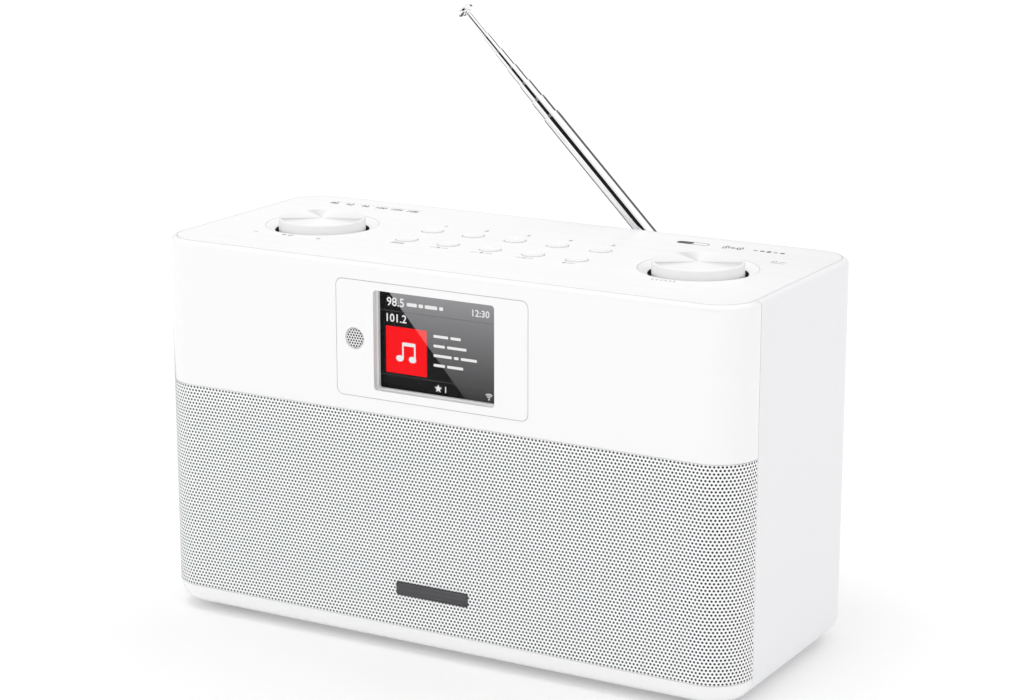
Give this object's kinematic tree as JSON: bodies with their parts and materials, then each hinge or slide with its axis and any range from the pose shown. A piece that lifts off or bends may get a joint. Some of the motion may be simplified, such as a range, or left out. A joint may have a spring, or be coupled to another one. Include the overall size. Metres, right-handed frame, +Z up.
{
  "type": "tabletop radio",
  "caption": "Tabletop radio with a wide perforated front, a small colour display, turn-and-press knobs, round push buttons and a telescopic aerial.",
  "frame": {"origin": "middle of the whole part's outline seen from above, at the level the feet stand on; the body's own middle is 6 mm further forward because the aerial stands out behind", "axes": "+X to the right seen from the front, +Y to the rear, +Z up; the front faces -Y"},
  "size_m": [0.28, 0.1326, 0.2612],
  "materials": {
    "cabinet_grey": "fine matt",
    "cover_white": "high gloss",
    "grille_white": "satin paint on perforated sheet",
    "plate_white": "fine brushed satin",
    "bezel_white": "high gloss",
    "grille_cloth": "fine black weave",
    "window_clear": "clear gloss",
    "screen": "lit panel",
    "tray_grey": "moulded",
    "mesh_dark": "fine mesh",
    "badge_dark": "satin",
    "knob_white": "spun top",
    "encoder_metal": "plain",
    "nylon": "plain",
    "steel": "zinc plated",
    "button_white": "satin",
    "black_plastic": "moulded",
    "board_green": "solder resist",
    "fins": "black anodised",
    "baffle_board": "dark fibreboard",
    "basket_steel": "black",
    "magnet_iron": "ferrite",
    "cone_paper": "pressed",
    "panel_grey": "fine matt",
    "foot_rubber": "matt",
    "aerial_chrome": "polished"
  },
  "bodies": {
    "radio": {"cabinet": "cabinet_grey", "front_cover": "cover_white", "grille": "grille_white", "grille_cloth": "grille_cloth", "top_plate": "plate_white", "bezel": "bezel_white", "display_window": "window_clear", "display_panel": "screen", "display_holder": "tray_grey", "sensor_mesh": "mesh_dark", "badge": "badge_dark", "encoder_left": "encoder_metal", "encoder_right": "encoder_metal", "encoder_nuts": "steel", "key_switches": "black_plastic", "control_board": "board_green", "main_board": "board_green", "inner_screws": "steel", "radio_module": "steel", "heat_sink": "fins", "dc_inlet": "black_plastic", "aux_jack": "black_plastic", "headphone_jack": "black_plastic", "baffle": "baffle_board", "basket_left": "basket_steel", "basket_right": "basket_steel", "magnet_left": "magnet_iron", "magnet_right": "magnet_iron", "cone_left": "cone_paper", "cone_right": "cone_paper", "rear_panel": "panel_grey", "rear_screws": "steel", "feet": "foot_rubber"},
    "push_left": {"slider_left": "nylon"},
    "push_right": {"slider_right": "nylon"},
    "turn_left": {"knob_left": "knob_white", "shaft_left": "encoder_metal"},
    "turn_right": {"knob_right": "knob_white", "shaft_right": "encoder_metal"},
    "key_1": {"button_1": "button_white"},
    "key_2": {"button_2": "button_white"},
    "key_3": {"button_3": "button_white"},
    "key_4": {"button_4": "button_white"},
    "key_5": {"button_5": "button_white"},
    "key_6": {"button_6": "button_white"},
    "key_7": {"button_7": "button_white"},
    "key_8": {"button_8": "button_white"},
    "key_9": {"button_9": "button_white"},
    "key_10": {"button_10": "button_white"},
    "aerial_base": {"aerial_swivel": "aerial_chrome", "aerial_pin": "aerial_chrome"},
    "aerial_arm": {"aerial_knuckle": "aerial_chrome", "aerial_tube_1": "aerial_chrome"},
    "aerial_2": {"aerial_tube_2": "aerial_chrome"},
    "aerial_3": {"aerial_tube_3": "aerial_chrome"},
    "aerial_4": {"aerial_tube_4": "aerial_chrome"},
    "aerial_5": {"aerial_tube_5": "aerial_chrome"},
    "aerial_6": {"aerial_tube_6": "aerial_chrome"},
    "aerial_7": {"aerial_tube_7": "aerial_chrome", "aerial_cap": "aerial_chrome"}
  },
  "joints": [
    {"name": "knob_left_press", "type": "slide", "parent": "radio", "child": "push_left", "axis": [0, 0, -1], "range_m": [0, 0.001], "stiffness_N_per_m": 2500, "springref_m": -0.0008},
    {"name": "knob_left_turn", "type": "hinge", "parent": "push_left", "child": "turn_left", "pos_m": [-0.0924, -0.006, 0.1685], "axis": [0, 0, 1], "continuous": true},
    {"name": "knob_right_press", "type": "slide", "parent": "radio", "child": "push_right", "axis": [0, 0, -1], "range_m": [0, 0.001], "stiffness_N_per_m": 2500, "springref_m": -0.0008},
    {"name": "knob_right_turn", "type": "hinge", "parent": "push_right", "child": "turn_right", "pos_m": [0.0924, -0.006, 0.1685], "axis": [0, 0, 1], "continuous": true},
    {"name": "key_1_press", "type": "slide", "parent": "radio", "child": "key_1", "axis": [0, 0, -1], "range_m": [0, 0.0006], "stiffness_N_per_m": 800, "springref_m": -0.0012},
    {"name": "key_2_press", "type": "slide", "parent": "radio", "child": "key_2", "axis": [0, 0, -1], "range_m": [0, 0.0006], "stiffness_N_per_m": 800, "springref_m": -0.0012},
    {"name": "key_3_press", "type": "slide", "parent": "radio", "child": "key_3", "axis": [0, 0, -1], "range_m": [0, 0.0006], "stiffness_N_per_m": 800, "springref_m": -0.0012},
    {"name": "key_4_press", "type": "slide", "parent": "radio", "child": "key_4", "axis": [0, 0, -1], "range_m": [0, 0.0006], "stiffness_N_per_m": 800, "springref_m": -0.0012},
    {"name": "key_5_press", "type": "slide", "parent": "radio", "child": "key_5", "axis": [0, 0, -1], "range_m": [0, 0.0006], "stiffness_N_per_m": 800, "springref_m": -0.0012},
    {"name": "key_6_press", "type": "slide", "parent": "radio", "child": "key_6", "axis": [0, 0, -1], "range_m": [0, 0.0006], "stiffness_N_per_m": 800, "springref_m": -0.0012},
    {"name": "key_7_press", "type": "slide", "parent": "radio", "child": "key_7", "axis": [0, 0, -1], "range_m": [0, 0.0006], "stiffness_N_per_m": 800, "springref_m": -0.0012},
    {"name": "key_8_press", "type": "slide", "parent": "radio", "child": "key_8", "axis": [0, 0, -1], "range_m": [0, 0.0006], "stiffness_N_per_m": 800, "springref_m": -0.0012},
    {"name": "key_9_press", "type": "slide", "parent": "radio", "child": "key_9", "axis": [0, 0, -1], "range_m": [0, 0.0006], "stiffness_N_per_m": 800, "springref_m": -0.0012},
    {"name": "key_10_press", "type": "slide", "parent": "radio", "child": "key_10", "axis": [0, 0, -1], "range_m": [0, 0.0006], "stiffness_N_per_m": 800, "springref_m": -0.0012},
    {"name": "aerial_turn", "type": "hinge", "parent": "radio", "child": "aerial_base", "pos_m": [0.072, 0.062, 0.1276], "axis": [0, 1, 0], "range_deg": [-45, 135]},
    {"name": "aerial_fold", "type": "hinge", "parent": "aerial_base", "child": "aerial_arm", "pos_m": [0.072, 0.062, 0.1276], "axis": [-0.7071, 0, -0.7071], "range_deg": [0, 90]},
    {"name": "aerial_draw_2", "type": "slide", "parent": "aerial_arm", "child": "aerial_2", "axis": [-0.7071, 0, 0.7071], "range_m": [-0.0091, 0.082]},
    {"name": "aerial_draw_3", "type": "slide", "parent": "aerial_2", "child": "aerial_3", "axis": [-0.7071, 0, 0.7071], "range_m": [-0.0091, 0.081]},
    {"name": "aerial_draw_4", "type": "slide", "parent": "aerial_3", "child": "aerial_4", "axis": [-0.7071, 0, 0.7071], "range_m": [-0.0091, 0.08]},
    {"name": "aerial_draw_5", "type": "slide", "parent": "aerial_4", "child": "aerial_5", "axis": [-0.7071, 0, 0.7071], "range_m": [-0.0091, 0.079]},
    {"name": "aerial_draw_6", "type": "slide", "parent": "aerial_5", "child": "aerial_6", "axis": [-0.7071, 0, 0.7071], "range_m": [-0.0091, 0.078]},
    {"name": "aerial_draw_7", "type": "slide", "parent": "aerial_6", "child": "aerial_7", "axis": [-0.7071, 0, 0.7071], "range_m": [-0.012, 0.076]}
  ]
}
